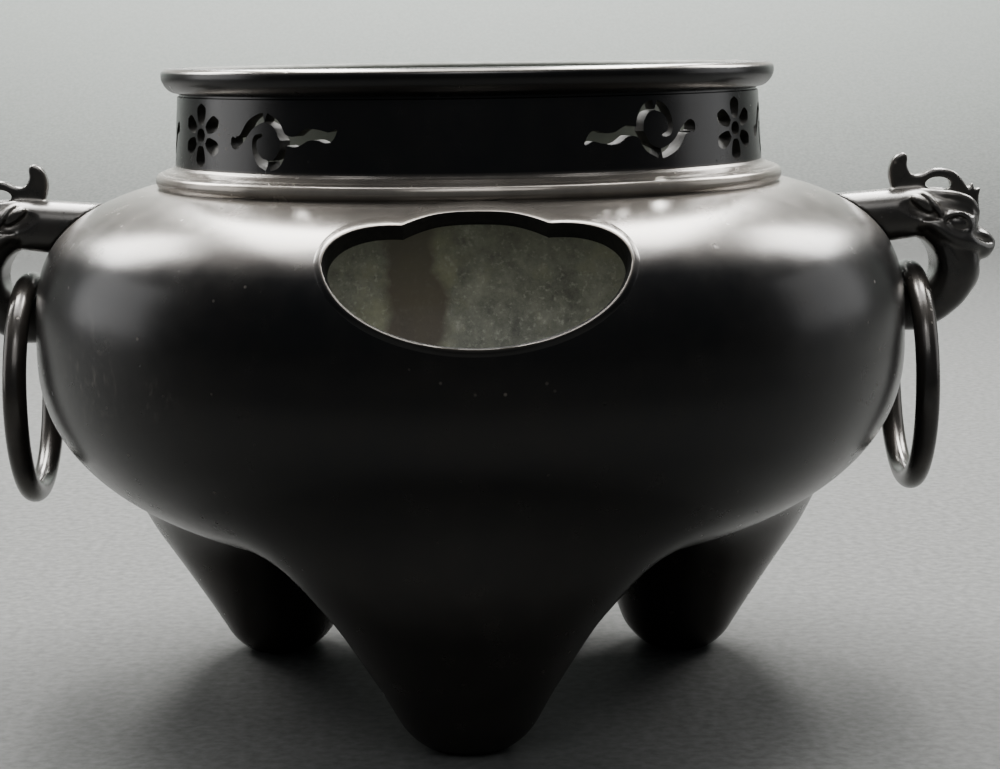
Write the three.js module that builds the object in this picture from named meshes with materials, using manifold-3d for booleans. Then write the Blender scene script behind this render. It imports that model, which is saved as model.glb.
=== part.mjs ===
// Bronze tea brazier on three breast-shaped feet: a hollow cast vessel with a fire window and a
// pierced neck, two dragon-head lugs and the two loose rings that hang in them.
// Units are millimetres, +Z is up, the front with the window faces -Y, the lugs point to -X and +X.
import * as THREE from 'three';
import { mergeVertices } from 'three/addons/utils/BufferGeometryUtils.js';
import Module from 'manifold-3d';

const wasm = await Module();
wasm.setup();

// Bowl: a superellipse of revolution with its own height and fullness above and below the belly
const bodyRadius = 149.4;
const bellyHeight = 121.4;
const shoulderRise = 61.3;
const shoulderFullness = 3.55;
const bellyDrop = 75;
const bellyFullness = 2.28;
const bowlWall = 4;

// Neck, rim and the moulding at the neck's root, built up from the bowl's crown
const neckTopRadius = 99.4;
const neckHeight = 33.9;
const neckWall = 4;
const neckFlare = 1.2;
const rimOverhang = 5.3;
const rimDepth = 8.7;
const rimSlope = 3.1;
const mouthChamfer = 1.4;
const mouldingSink = 0.3;
const mouldingReach = 6.8;
const mouldingDepth = 6.2;
const mouldingTop = bellyHeight + shoulderRise - mouldingSink;
const mouldingRadius = neckTopRadius + neckFlare + mouldingReach;
const rimHeight = mouldingTop + neckHeight;
const rimRadius = neckTopRadius + rimOverhang;
const seatOuterRadius = rimRadius - rimSlope;
const mouthRadius = neckTopRadius - neckWall;

// Feet: three hollow cones, broader along the bowl than across it
const footCount = 3;
const feetTurn = THREE.MathUtils.degToRad(-1.8);
const footCircle = 85.4;
const footTipRadius = 21.5;
const footFlatRadius = 10.2;
const footRootCircle = 90.9;
const footRootHeight = 63.5;
const footRootRadius = 40;
const footTipBreadth = 1.15;
const footRootBreadth = 1.26;
const footBlend = 22.5;

// Fire window in the front of the shoulder
const windowTurn = THREE.MathUtils.degToRad(0.8);
const windowWidth = 90.6;
const windowLobeHalfWidth = 21.9;
const windowTop = bellyHeight + 0.858 * shoulderRise;
const windowLobeTop = bellyHeight + 0.803 * shoulderRise;
const windowEndHeight = bellyHeight + 0.646 * shoulderRise;
const windowBottom = bellyHeight + 0.251 * shoulderRise;

// Openwork of the neck: one flower and two cloud scrolls over each gap between the feet,
// drawn on a grid that has 33.9 units to the neck's height
const openworkHeight = mouldingTop + 0.372 * neckHeight;
const openworkUnit = neckHeight / 33.9;
const flowerTurn = THREE.MathUtils.degToRad(60);
const flowerSpread = 1.36;
const flowerEyeRadius = 2.3;
const petalCount = 6;
const petalReach = 10.3;
const petalInset = 3.4;
const petalHalfWidth = 2.1;
const cloudTurnLow = THREE.MathUtils.degToRad(-38.7);
const cloudTurnHigh = THREE.MathUtils.degToRad(35.7);
const cloudOffset = 1.15;
const ribWidth = 1;

// Dragon-head lugs: a neck, head and beard bent round a ring hole, drawn on a grid that has
// 29 units from the hole's centre to the tip of the snout
const headReach = 29;
const headUnit = headReach / 29;
const ringHoleRadius = 8.3;
const ringHoleOffset = 5.1;
const ringHoleHeight = bellyHeight + 0.406 * shoulderRise;
const lugGap = 0.3;
const crestThickness = 4.4;

// Rings
const ringBarRadius = 4.07;
const ringRadius = 36.3;
const ringClearance = 0.35;
const ringTuck = 0.3;

// How finely the faceted surfaces are cut
const bowlSides = 48;
const liningSides = 32;
const sideCrowding = 0.11;

const bronze = { color: 0x2b2825, roughness: 0.42, metalness: 0.85 };
const lugBronze = { color: 0x262423, roughness: 0.38, metalness: 0.85 };
const ringBronze = { color: 0x1f1d1c, roughness: 0.33, metalness: 0.9 };

// Turns a closed geometry into a solid that can be cut and joined, and back again
function toSolid(geometry) {
  const bare = geometry.clone();
  bare.deleteAttribute('normal');
  bare.deleteAttribute('uv');
  const merged = mergeVertices(bare, 1e-5);
  return new wasm.Manifold(
    new wasm.Mesh({
      numProp: 3,
      vertProperties: new Float32Array(merged.attributes.position.array),
      triVerts: new Uint32Array(merged.index.array),
    }),
  );
}

function toGeometry(solid) {
  const mesh = solid.getMesh();
  const geometry = new THREE.BufferGeometry();
  geometry.setAttribute('position', new THREE.BufferAttribute(mesh.vertProperties, 3));
  geometry.setIndex(new THREE.BufferAttribute(mesh.triVerts, 1));
  geometry.computeVertexNormals();
  return geometry;
}

function geometryFrom(points, triangles) {
  const geometry = new THREE.BufferGeometry();
  geometry.setAttribute('position', new THREE.Float32BufferAttribute(points.flatMap((p) => p.toArray()), 3));
  geometry.setIndex(triangles);
  return geometry;
}

// Skins a row of loops that all have as many points, and closes both ends with a fan
function skin(loops) {
  const sides = loops[0].length;
  const points = loops.flat();
  const triangles = [];
  for (let row = 0; row + 1 < loops.length; row++) {
    for (let side = 0; side < sides; side++) {
      const next = (side + 1) % sides;
      const a = row * sides + side;
      const b = row * sides + next;
      triangles.push(a, a + sides, b, b, a + sides, b + sides);
    }
  }
  const ends = [[loops[0], 0, 1], [loops.at(-1), (loops.length - 1) * sides, -1]];
  for (const [loop, start, way] of ends) {
    const middle = loop.reduce((sum, p) => sum.add(p), new THREE.Vector3()).divideScalar(sides);
    points.push(middle);
    for (let side = 0; side < sides; side++) {
      const next = (side + 1) % sides;
      const pair = way > 0 ? [start + side, start + next] : [start + next, start + side];
      triangles.push(points.length - 1, ...pair);
    }
  }
  return geometryFrom(points, triangles);
}

// A prism with a flat outline whose two ends are laid on curved surfaces by the place function
function curvedPrism(outline, place) {
  const flat = THREE.ShapeUtils.isClockWise(outline) ? outline.slice().reverse() : outline;
  const count = flat.length;
  const points = [0, 1].flatMap((end) => flat.map((p) => place(p, end)));
  const triangles = [];
  for (const [a, b, c] of THREE.ShapeUtils.triangulateShape(flat, [])) {
    triangles.push(a, c, b, a + count, b + count, c + count);
  }
  for (let i = 0; i < count; i++) {
    const next = (i + 1) % count;
    triangles.push(i, next, i + count, next, next + count, i + count);
  }
  return geometryFrom(points, triangles);
}

// Outline of a ribbon: a smooth middle line with a width at each of its points
function ribbonOutline(stations, steps) {
  const middle = new THREE.SplineCurve(stations.map(([u, v]) => new THREE.Vector2(u, v)));
  const width = new THREE.SplineCurve(stations.map(([, , w], i) => new THREE.Vector2(i, w)));
  const left = [];
  const right = [];
  for (let i = 0; i <= steps; i++) {
    const t = i / steps;
    const point = middle.getPoint(t);
    const along = middle.getTangent(t);
    const across = new THREE.Vector2(-along.y, along.x).multiplyScalar(width.getPoint(t).y / 2);
    left.push(point.clone().add(across));
    right.unshift(point.clone().sub(across));
  }
  return [...left, ...right];
}

// The vessel's outer surface: negative inside the bowl or a foot, zero on the skin.
// A foot is the union of spheres that grow from the tip to the root along a leaning line,
// so a point's nearest sphere lies further up the line than the point by the cone's slope.
const tipHeight = Math.sqrt(footTipRadius ** 2 - footFlatRadius ** 2);
const footLine = new THREE.Vector2(footRootCircle - footCircle, footRootHeight - tipHeight);
const footLength = footLine.length();
const footWay = footLine.clone().normalize();
const footSlope = Math.tan(Math.asin((footRootRadius - footTipRadius) / footLength));
const footTurns = Array.from(
  { length: footCount },
  (_, i) => -Math.PI / 2 + feetTurn + (i * 2 * Math.PI) / footCount,
);

function bowlDepth(radius, z) {
  const above = z > bellyHeight;
  const height = above ? shoulderRise : bellyDrop;
  const fullness = above ? shoulderFullness : bellyFullness;
  const share = (radius / bodyRadius) ** fullness + (Math.abs(z - bellyHeight) / height) ** fullness;
  return (share ** (1 / fullness) - 1) * 0.4 * (height + bodyRadius);
}

function footDepth(x, y, z, turn) {
  const out = x * Math.cos(turn) + y * Math.sin(turn) - footCircle;
  const rise = z - tipHeight;
  const along = out * footWay.x + rise * footWay.y;
  const share = THREE.MathUtils.clamp(along / footLength, 0, 1);
  const breadth = THREE.MathUtils.lerp(footTipBreadth, footRootBreadth, share);
  const across = (y * Math.cos(turn) - x * Math.sin(turn)) / breadth;
  const away = Math.hypot(out * footWay.y - rise * footWay.x, across);
  const nearest = THREE.MathUtils.clamp(along + away * footSlope, 0, footLength);
  const radius = THREE.MathUtils.lerp(footTipRadius, footRootRadius, nearest / footLength);
  return Math.hypot(away, along - nearest) - radius;
}

function vesselDepth(x, y, z) {
  const bowl = bowlDepth(Math.hypot(x, y), z);
  const foot = Math.min(...footTurns.map((turn) => footDepth(x, y, z, turn)));
  const mix = THREE.MathUtils.clamp(0.5 + (foot - bowl) / (2 * footBlend), 0, 1);
  const blended = THREE.MathUtils.lerp(foot, bowl, mix) - footBlend * mix * (1 - mix);
  return Math.max(blended, -z);
}

// Walks along a ray from inside the vessel until it comes out of the skin
function skinPoint(from, way, turn, offset) {
  const c = Math.cos(turn);
  const s = Math.sin(turn);
  const depthAt = (t) => {
    const radius = from.x + way.x * t;
    return vesselDepth(radius * c, radius * s, from.y + way.y * t) - offset;
  };
  let near = 0;
  let far = 4;
  while (depthAt(far) < 0) {
    near = far;
    far += 4;
  }
  for (let i = 0; i < 24; i++) {
    const middle = (near + far) / 2;
    if (depthAt(middle) < 0) near = middle;
    else far = middle;
  }
  const radius = from.x + way.x * far;
  return new THREE.Vector3(radius * c, radius * s, from.y + way.y * far);
}

// Angles round the vessel, closer together over the feet
function turnsAround(sides) {
  return Array.from({ length: sides }, (_, i) => {
    const turn = (i * 2 * Math.PI) / sides - Math.PI / 2;
    return turn - sideCrowding * Math.sin(footCount * (turn + Math.PI / 2 - feetTurn));
  });
}

// Rows of the skin: rays fan out from inside the belly, then drop straight down across the feet
const fanRadius = footCircle + footTipRadius - 2;
const fanHeight = bellyHeight - 5;
const firstFanAngle = Math.atan2(bellyHeight + shoulderRise - fanHeight - 5, mouldingRadius - fanRadius + 1);

function bowlRows(fanSteps, dropShares, sides, offset) {
  const turns = turnsAround(sides);
  const rows = [];
  for (let i = 0; i <= fanSteps; i++) {
    const angle = firstFanAngle - (i / fanSteps) * (firstFanAngle + Math.PI / 2);
    const way = new THREE.Vector2(Math.cos(angle), Math.sin(angle));
    rows.push([new THREE.Vector2(fanRadius, fanHeight), way]);
  }
  for (const share of dropShares) {
    rows.push([new THREE.Vector2(fanRadius * share, fanHeight), new THREE.Vector2(0, -1)]);
  }
  return rows.map(([from, way]) => turns.map((turn) => skinPoint(from, way, turn, offset)));
}

function ringRows(profile, sides) {
  const turns = turnsAround(sides);
  return profile.map(([r, z]) => turns.map((t) => new THREE.Vector3(r * Math.cos(t), r * Math.sin(t), z)));
}

// Rim: a flat seat on top, a rounded edge and a quarter-round underside down to the neck
const rimUnder = rimHeight - rimDepth;
const rimProfile = [
  [seatOuterRadius, rimHeight],
  [rimRadius - 0.13 * rimOverhang, rimHeight - 0.08 * rimDepth],
  [rimRadius, rimHeight - 0.3 * rimDepth],
  [rimRadius - 0.28 * rimOverhang, rimUnder + 0.26 * rimDepth],
  [neckTopRadius, rimUnder],
];

// Moulding: a narrow fillet, then a round bead down to the shoulder
const beadTop = mouldingTop - 0.25 * mouldingDepth;
const beadFoot = mouldingTop - mouldingDepth;
const mouldingProfile = [
  [neckTopRadius + neckFlare, mouldingTop],
  [mouldingRadius - 3.2, beadTop + 0.3],
  [mouldingRadius - 0.5, mouldingTop - 0.42 * mouldingDepth],
  [mouldingRadius, mouldingTop - 0.62 * mouldingDepth],
  [mouldingRadius - 0.4, beadFoot],
];

const fanSteps = 11;
const dropShares = [0.94, 0.87, 0.8, 0.72, 0.63, 0.5, 0.28];
const liningFanSteps = 6;
const liningShares = [0.88, 0.75, 0.62, 0.4];

function vesselSkin(offset) {
  const upper = ringRows([...rimProfile, ...mouldingProfile], bowlSides);
  return toSolid(skin([...upper, ...bowlRows(fanSteps, dropShares, bowlSides, offset)]));
}

function vesselLining() {
  const overTop = rimHeight + 5;
  const profile = [
    [mouthRadius + mouthChamfer + 5, overTop],
    [mouthRadius + mouthChamfer, rimHeight],
    [mouthRadius, rimHeight - mouthChamfer],
    [mouthRadius, mouldingTop - mouldingDepth - 3],
  ];
  return toSolid(skin([...ringRows(profile, liningSides), ...bowlRows(liningFanSteps, liningShares, liningSides, -bowlWall)]));
}

// Fire window: three lobes along the top and a half-moon below, cut square to the wall
function windowOutline() {
  const half = windowWidth / 2;
  const lobe = windowLobeHalfWidth;
  const outline = new THREE.Path();
  const lobeRise = windowTop - windowLobeTop;
  outline.moveTo(-lobe, windowLobeTop);
  outline.bezierCurveTo(-lobe * 0.6, windowTop - 0.2 * lobeRise, -lobe * 0.5, windowTop, 0, windowTop);
  outline.bezierCurveTo(lobe * 0.5, windowTop, lobe * 0.6, windowTop - 0.2 * lobeRise, lobe, windowLobeTop);
  outline.bezierCurveTo(half * 0.8, windowLobeTop + 0.6, half, windowEndHeight + 6, half, windowEndHeight - 1);
  const sill = windowEndHeight - windowBottom;
  outline.bezierCurveTo(half * 0.96, windowEndHeight - 0.55 * sill, half * 0.55, windowBottom, 0, windowBottom);
  outline.bezierCurveTo(-half * 0.55, windowBottom, -half * 0.96, windowEndHeight - 0.55 * sill, -half, windowEndHeight - 1);
  outline.bezierCurveTo(-half, windowEndHeight + 6, -half * 0.8, windowLobeTop + 0.6, -lobe, windowLobeTop);
  return outline.getPoints(4).slice(0, -1);
}

const cutterReach = 24;

function windowCutter() {
  const place = (p, end) => {
    const rise = Math.abs(p.y - bellyHeight) / shoulderRise;
    const radius = bodyRadius * (1 - rise ** shoulderFullness) ** (1 / shoulderFullness);
    const turn = Math.asin(p.x / radius);
    const normal = new THREE.Vector2(
      (radius / bodyRadius) ** (shoulderFullness - 1) / bodyRadius,
      rise ** (shoulderFullness - 1) / shoulderRise,
    ).normalize();
    const reach = end === 1 ? cutterReach : -cutterReach;
    const out = radius + normal.x * reach;
    return new THREE.Vector3(out * Math.sin(turn), -out * Math.cos(turn), p.y + normal.y * reach);
  };
  const geometry = curvedPrism(windowOutline(), place);
  geometry.rotateZ(windowTurn);
  return toSolid(geometry);
}

// Neck openwork: outlines in grid units along the wall and up it, cut straight towards the axis
const neckMiddleRadius = neckTopRadius + neckFlare / 2;
const cutterClearance = 3;

function neckCutter(outline, turn, height) {
  const place = (p, end) => {
    const angle = turn + (p.x * openworkUnit) / neckMiddleRadius;
    const radius = end === 1 ? rimRadius + cutterClearance : mouthRadius - cutterClearance;
    const z = height + p.y * openworkUnit;
    return new THREE.Vector3(radius * Math.sin(angle), -radius * Math.cos(angle), z);
  };
  return toSolid(curvedPrism(outline, place));
}

function petalOutline(angle) {
  const length = petalReach - petalInset;
  const shape = [
    [petalInset, -0.55 * petalHalfWidth],
    [petalInset + 0.65 * length, -petalHalfWidth],
    [petalReach, 0],
    [petalInset + 0.65 * length, petalHalfWidth],
    [petalInset, 0.55 * petalHalfWidth],
  ];
  const turned = shape.map(([r, w]) => new THREE.Vector2(r, w).rotateAround(new THREE.Vector2(), angle));
  return turned.map((p) => new THREE.Vector2(p.x * flowerSpread, p.y));
}

function flowerCutters(turn) {
  const eye = Array.from({ length: 6 }, (_, i) => {
    const angle = (i * Math.PI) / 3;
    return new THREE.Vector2(flowerSpread * Math.cos(angle), Math.sin(angle)).multiplyScalar(flowerEyeRadius);
  });
  const petals = Array.from({ length: petalCount }, (_, i) =>
    petalOutline(Math.PI / 2 + (i * 2 * Math.PI) / petalCount));
  return [eye, ...petals].map((outline) => neckCutter(outline, turn, openworkHeight));
}

// Cloud scroll: ribbons with a width at each point, parted by two thin ribs
const cloudRibbons = [
  [
    [-17.2, 1, 1.2], [-15.6, -0.6, 4.2], [-12.4, 0.6, 3], [-8.5, 4.8, 3.3], [-4.4, 6.9, 3.2],
    [-1.6 - ribWidth / 2, 7.5, 3],
  ],
  [
    [-1.6 + ribWidth / 2, 7.5, 3], [3.4, 5.3, 2.7], [6.2, 1.2, 2.8], [10.8, 0.1, 3.3], [15.2, 2.2, 3.7],
    [19.3, 2.2, 3.2], [23, 1.5, 3.3], [26, 3.9, 0.7],
  ],
  [[6.4, 1, 2.6], [5.9, -3.3, 2.8], [3.6, -6.6, 3.2], [0.2 + ribWidth / 2, -7.6, 3.3]],
  [[0.2 - ribWidth / 2, -7.6, 3.3], [-3.8, -6, 2.8], [-5.9, -2.6, 2.2], [-5.7, 0.8, 2], [-2.6, 2.1, 1]],
];

function cloudCutters(turn, way) {
  return cloudRibbons.map((ribbon) => {
    const outline = ribbonOutline(ribbon, ribbon.length - 1);
    const turned = outline.map((p) => p.clone().multiplyScalar(way));
    return neckCutter(turned, turn, openworkHeight - way * cloudOffset * openworkUnit);
  });
}

function makeVessel(skinSolid) {
  let vessel = skinSolid.subtract(vesselLining()).subtract(windowCutter());
  for (let i = 0; i < footCount; i++) {
    const turn = (i * 2 * Math.PI) / footCount;
    const cutters = [
      ...flowerCutters(turn + flowerTurn),
      ...cloudCutters(turn + cloudTurnLow, 1),
      ...cloudCutters(turn + cloudTurnHigh, -1),
    ];
    for (const cutter of cutters) vessel = vessel.subtract(cutter);
  }
  return vessel;
}

// Dragon head: cross-sections swept round the ring hole, from the neck over the snout to the beard.
// Each section is [angle round the hole, inner radius in hole radii, outer radius, half width, how
// boxy it is towards the hole].
const holeCentre = new THREE.Vector2(bodyRadius + ringHoleOffset, ringHoleHeight);
const headSections = [
  [90, 1, 26.1, 11.2, 3],
  [66, 0.9, 26.6, 12.6, 4],
  [47, 0.82, 27.6, 13.4, 5],
  [32, 0.8, 26, 13.8, 5],
  [20, 0.8, 23.6, 13.6, 5],
  [4, 0.8, 23, 13.4, 5],
  [-14, 0.84, 22.8, 13, 4.6],
  [-34, 0.9, 22.4, 12.2, 4],
  [-54, 0.95, 22.4, 11.2, 3.2],
  [-74, 0.97, 23.4, 10.2, 2.6],
  [-92, 0.96, 24.8, 9.6, 2.4],
];
const neckRoot = { reach: 36, under: 3.7, top: 23.2, halfWidth: 11.6 };
const beardRootReach = 12;
const sectionSides = 10;
const faceFullness = 2.6;

// A section between an inner and an outer point of the middle plane: a superellipse, boxy towards
// the ring hole and rounder towards the face
function headLoop(inner, outer, halfWidth, holeFullness) {
  const middle = inner.clone().lerp(outer, 0.5);
  const reach = outer.clone().sub(inner).multiplyScalar(0.5);
  return Array.from({ length: sectionSides }, (_, i) => {
    const angle = (i * 2 * Math.PI) / sectionSides;
    const power = Math.cos(angle) < 0 ? holeFullness : faceFullness;
    const size = (Math.abs(Math.cos(angle)) ** power + Math.abs(Math.sin(angle)) ** power) ** (1 / power);
    const along = reach.clone().multiplyScalar(Math.cos(angle) / size).add(middle);
    return new THREE.Vector3(along.x, (Math.sin(angle) / size) * halfWidth, along.y);
  });
}

function headCore() {
  const swept = headSections.map(([degrees, inner, outer, halfWidth, holeFullness]) => {
    const angle = THREE.MathUtils.degToRad(degrees);
    const way = new THREE.Vector2(Math.cos(angle), Math.sin(angle));
    const near = holeCentre.clone().addScaledVector(way, inner * ringHoleRadius);
    const far = holeCentre.clone().addScaledVector(way, outer * headUnit);
    return headLoop(near, far, halfWidth * headUnit, holeFullness);
  });
  const at = (x, z) => new THREE.Vector2(x, z).multiplyScalar(headUnit).add(holeCentre);
  const neckEnd = headLoop(
    at(-neckRoot.reach, neckRoot.under),
    at(-neckRoot.reach, neckRoot.top),
    neckRoot.halfWidth * headUnit,
    faceFullness,
  );
  const [, , beardOuter, beardHalfWidth, beardFullness] = headSections.at(-1);
  const beardOver = at(-beardRootReach, 0).setY(holeCentre.y - ringHoleRadius);
  const beardUnder = at(-beardRootReach, -beardOuter);
  const beardEnd = headLoop(beardOver, beardUnder, beardHalfWidth * headUnit, beardFullness);
  return toSolid(skin([neckEnd, ...swept, beardEnd]));
}

// A lump of the carving: an ellipsoid turned in the head's middle plane
function lump(x, y, z, radii, tilt = 0, detail = [8, 4]) {
  const geometry = new THREE.SphereGeometry(1, ...detail);
  geometry.scale(...radii);
  geometry.rotateY(tilt);
  geometry.translate(x, y, z);
  geometry.scale(headUnit, headUnit, headUnit);
  geometry.translate(holeCentre.x, 0, holeCentre.y);
  return toSolid(geometry);
}

// Crest: a flat pierced comb with a curled rear lobe and a small tuft over the brow
function crestComb() {
  const outline = new THREE.Shape();
  outline.moveTo(-6.4, 23.5);
  outline.bezierCurveTo(-9.6, 30, -9.4, 36, -4.3, 37.2);
  outline.bezierCurveTo(-2.2, 36.6, -3.4, 31.5, -1, 30.2);
  outline.bezierCurveTo(2, 29.6, 5, 32.6, 9.5, 32);
  outline.bezierCurveTo(13.5, 31.6, 16, 29.5, 18.6, 25.6);
  outline.lineTo(20, 27);
  outline.lineTo(20.6, 24.9);
  outline.lineTo(22.8, 25);
  outline.bezierCurveTo(21.6, 22, 21.6, 20, 21.4, 17);
  outline.lineTo(-4, 17);
  const eye = new THREE.Path();
  eye.absellipse(8.1, 26.1, 4.3, 2.5, 0, 2 * Math.PI);
  outline.holes.push(eye);
  const geometry = new THREE.ExtrudeGeometry(outline, {
    depth: crestThickness,
    bevelEnabled: false,
    curveSegments: 4,
  });
  geometry.translate(0, 0, -crestThickness / 2);
  geometry.rotateX(Math.PI / 2);
  geometry.scale(headUnit, 1, headUnit);
  geometry.translate(holeCentre.x, 0, holeCentre.y);
  return toSolid(geometry);
}

function makeHead(roomForVessel) {
  let head = headCore();
  const snout = lump(22.5, 0, 5.8, [6.4, 8.8, 5.6], -0.35);
  const chin = lump(17.6, 0, -3.5, [5, 8, 5.5], 0.4);
  head = head.add(snout).add(chin).add(crestComb());
  for (const side of [-1, 1]) {
    head = head.add(lump(13.2, side * 11.6, 13.6, [4, 3, 3], 0.15));
    head = head.add(lump(15.2, side * 8.6, 18.2, [6, 4.2, 2.4], 0.35));
    head = head.subtract(lump(-0.6, side * 14.2, 19, [6.4, 3, 3.6], 0.3));
    head = head.add(lump(1.6, side * 11.4, 20.2, [4.6, 2.1, 1.7], 0.58));
    head = head.add(lump(11.4, side * 12, 9.4, [9, 2.8, 2.2], 0.32));
  }
  return head.subtract(roomForVessel);
}

function makeRing() {
  const geometry = new THREE.TorusGeometry(ringRadius, ringBarRadius, 8, 22);
  geometry.rotateY(Math.PI / 2);
  const beardTop = holeCentre.y - headSections.at(-1)[1] * ringHoleRadius;
  const planeX = bodyRadius + ringBarRadius - ringTuck;
  geometry.translate(planeX, 0, beardTop + ringClearance + ringBarRadius - ringRadius);
  return toSolid(geometry);
}

function addPiece(group, name, solid, look, mirrored) {
  const shape = mirrored ? solid.mirror([1, 0, 0]) : solid;
  const mesh = new THREE.Mesh(toGeometry(shape), new THREE.MeshStandardMaterial(look));
  mesh.name = name;
  group.add(mesh);
}

const brazier = new THREE.Group();
addPiece(brazier, 'vessel', makeVessel(vesselSkin(0)), bronze, false);
const head = makeHead(vesselSkin(lugGap));
const ring = makeRing();
for (const [side, mirrored] of [['right', false], ['left', true]]) {
  addPiece(brazier, `dragon_lug_${side}`, head, lugBronze, mirrored);
  addPiece(brazier, `ring_${side}`, ring, ringBronze, mirrored);
}

export default brazier;
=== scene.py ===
import bpy
import numpy as np
from math import radians
from mathutils import Matrix, Vector


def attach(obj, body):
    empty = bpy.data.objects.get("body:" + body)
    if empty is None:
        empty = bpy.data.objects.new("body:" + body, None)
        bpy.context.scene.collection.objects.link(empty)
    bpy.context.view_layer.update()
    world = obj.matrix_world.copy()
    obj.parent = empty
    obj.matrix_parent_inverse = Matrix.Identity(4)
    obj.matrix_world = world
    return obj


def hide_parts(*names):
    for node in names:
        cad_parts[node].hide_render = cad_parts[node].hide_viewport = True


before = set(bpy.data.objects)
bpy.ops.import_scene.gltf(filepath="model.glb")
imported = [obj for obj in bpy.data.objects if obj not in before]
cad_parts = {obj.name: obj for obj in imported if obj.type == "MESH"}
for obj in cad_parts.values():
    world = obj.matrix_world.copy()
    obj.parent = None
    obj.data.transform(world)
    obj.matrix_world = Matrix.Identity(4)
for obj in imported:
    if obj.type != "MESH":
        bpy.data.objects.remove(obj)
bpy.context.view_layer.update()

print("frame loaded")

# Lengths are metres. The bowl's axis is Z, the window faces -Y, the lugs point to -X and +X.


# A mesh object from arrays of points and faces, smooth except at edges sharper than the angle
def newPiece(name, points, faces, materials, faceSlots=None, sharpAngle=38):
    mesh = bpy.data.meshes.new(name)
    mesh.from_pydata(points.reshape(-1, 3).tolist(), [], [list(map(int, f)) for f in faces])
    for material in materials:
        mesh.materials.append(material)
    if faceSlots is not None:
        mesh.polygons.foreach_set("material_index", np.asarray(faceSlots, dtype=np.int32))
    mesh.shade_smooth()
    mesh.set_sharp_from_angle(angle=radians(sharpAngle))
    mesh.update()
    piece = bpy.data.objects.new(name, mesh)
    bpy.context.scene.collection.objects.link(piece)
    return piece


# Quads of a grid of points, closed round each row, and also from the last row to the first if asked
def gridFaces(rows, columns, closeRows=False, start=0):
    row = np.arange(rows if closeRows else rows - 1)[:, None]
    column = np.arange(columns)[None]
    after = (row + 1) % rows
    right = (column + 1) % columns
    quads = np.stack([row * columns + column, after * columns + column,
                      after * columns + right, row * columns + right], -1)
    return quads.reshape(-1, 4) + start


# Catmull-Rom curve through the given points, sampled evenly in its parameter
def smoothCurve(points, count):
    p = np.asarray(points, float)
    p = np.vstack([2 * p[0] - p[1], p, 2 * p[-1] - p[-2]])
    t = np.linspace(0, len(p) - 3, count)
    i = np.minimum(t.astype(int), len(p) - 4)
    f = (t - i)[:, None]
    a, b, c, d = p[i], p[i + 1], p[i + 2], p[i + 3]
    bend = (2 * a - 5 * b + 4 * c - d) * f ** 2 + (3 * b - a - 3 * c + d) * f ** 3
    return 0.5 * (2 * b + (c - a) * f + bend)


# Polynomial smooth minimum: the lesser of two depths, blended over a band k wide
def softMin(a, b, k):
    h = np.clip(0.5 + 0.5 * (b - a) / k, 0, 1)
    return b * (1 - h) + a * h - k * h * (1 - h)


# Smooth maximum: the smooth minimum of both depths turned over, turned over again
def softMax(a, b, k):
    return -softMin(-a, -b, k)


# Vessel: bowl, feet, neck, rim and moulding in one casting
vessel = {
    "bodyRadius": 0.14936, "bellyHeight": 0.1214,
    "shoulderRise": 0.0613, "shoulderFullness": 3.55,
    "bellyDrop": 0.075, "bellyFullness": 2.28, "wall": 0.004,
    "feetTurn": radians(-1.8), "footCircle": 0.0854, "footTip": 0.0215, "footFlat": 0.0102,
    "footRootCircle": 0.0909, "footRootHeight": 0.0635, "footRoot": 0.040,
    "footTipBreadth": 1.15, "footRootBreadth": 1.26, "footBlend": 0.0225,
    "rimHeight": 0.2163, "rimRadius": 0.1047, "rimDepth": 0.0087, "seatOuter": 0.1016,
    "mouthRadius": 0.0954, "neckTop": 0.0994, "neckFlare": 0.0012,
    "mouldingTop": 0.1824, "mouldingRadius": 0.1074, "mouldingDepth": 0.0062,
    "depthScale": 0.4, "skinStart": (0.0586, 0.0068), "liningStart": (0.0525, 0.0045),
    "sides": 336, "liningSides": 180,
}


# Superellipse of revolution: (radius share to a power plus height share to a power) to its root, less one
def bowlDepth(radius, z):
    above = z > vessel["bellyHeight"]
    height = np.where(above, vessel["shoulderRise"], vessel["bellyDrop"])
    power = np.where(above, vessel["shoulderFullness"], vessel["bellyFullness"])
    share = np.abs(radius / vessel["bodyRadius"]) ** power
    share = share + np.abs((z - vessel["bellyHeight"]) / height) ** power
    return (share ** (1 / power) - 1) * vessel["depthScale"] * (height + vessel["bodyRadius"])


tipHeight = np.sqrt(vessel["footTip"] ** 2 - vessel["footFlat"] ** 2)
footLine = np.array([vessel["footRootCircle"] - vessel["footCircle"],
                     vessel["footRootHeight"] - tipHeight])
footLength = np.hypot(*footLine)
footWay = footLine / footLength
footSlope = np.tan(np.arcsin((vessel["footRoot"] - vessel["footTip"]) / footLength))


# Spheres that grow along a leaning line: distance to the middle of the nearest one, less its radius
def footDepth(x, y, z, turn):
    out = x * np.cos(turn) + y * np.sin(turn) - vessel["footCircle"]
    rise = z - tipHeight
    along = out * footWay[0] + rise * footWay[1]
    share = np.clip(along / footLength, 0, 1)
    breadth = vessel["footTipBreadth"] + share * (vessel["footRootBreadth"] - vessel["footTipBreadth"])
    across = (y * np.cos(turn) - x * np.sin(turn)) / breadth
    away = np.sqrt((out * footWay[1] - rise * footWay[0]) ** 2 + across ** 2)
    nearest = np.clip(along + away * footSlope, 0, footLength)
    radius = vessel["footTip"] + nearest / footLength * (vessel["footRoot"] - vessel["footTip"])
    return np.hypot(away, along - nearest) - radius


# Bowl and three feet blended together and cut flat at the ground
def vesselDepth(x, y, z):
    foot = np.full(np.broadcast(x, y, z).shape, 1.0)
    for i in range(3):
        foot = np.minimum(foot, footDepth(x, y, z, radians(-90 + 120 * i) + vessel["feetTurn"]))
    return np.maximum(softMin(bowlDepth(np.hypot(x, y), z), foot, vessel["footBlend"]), -z)


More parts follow.
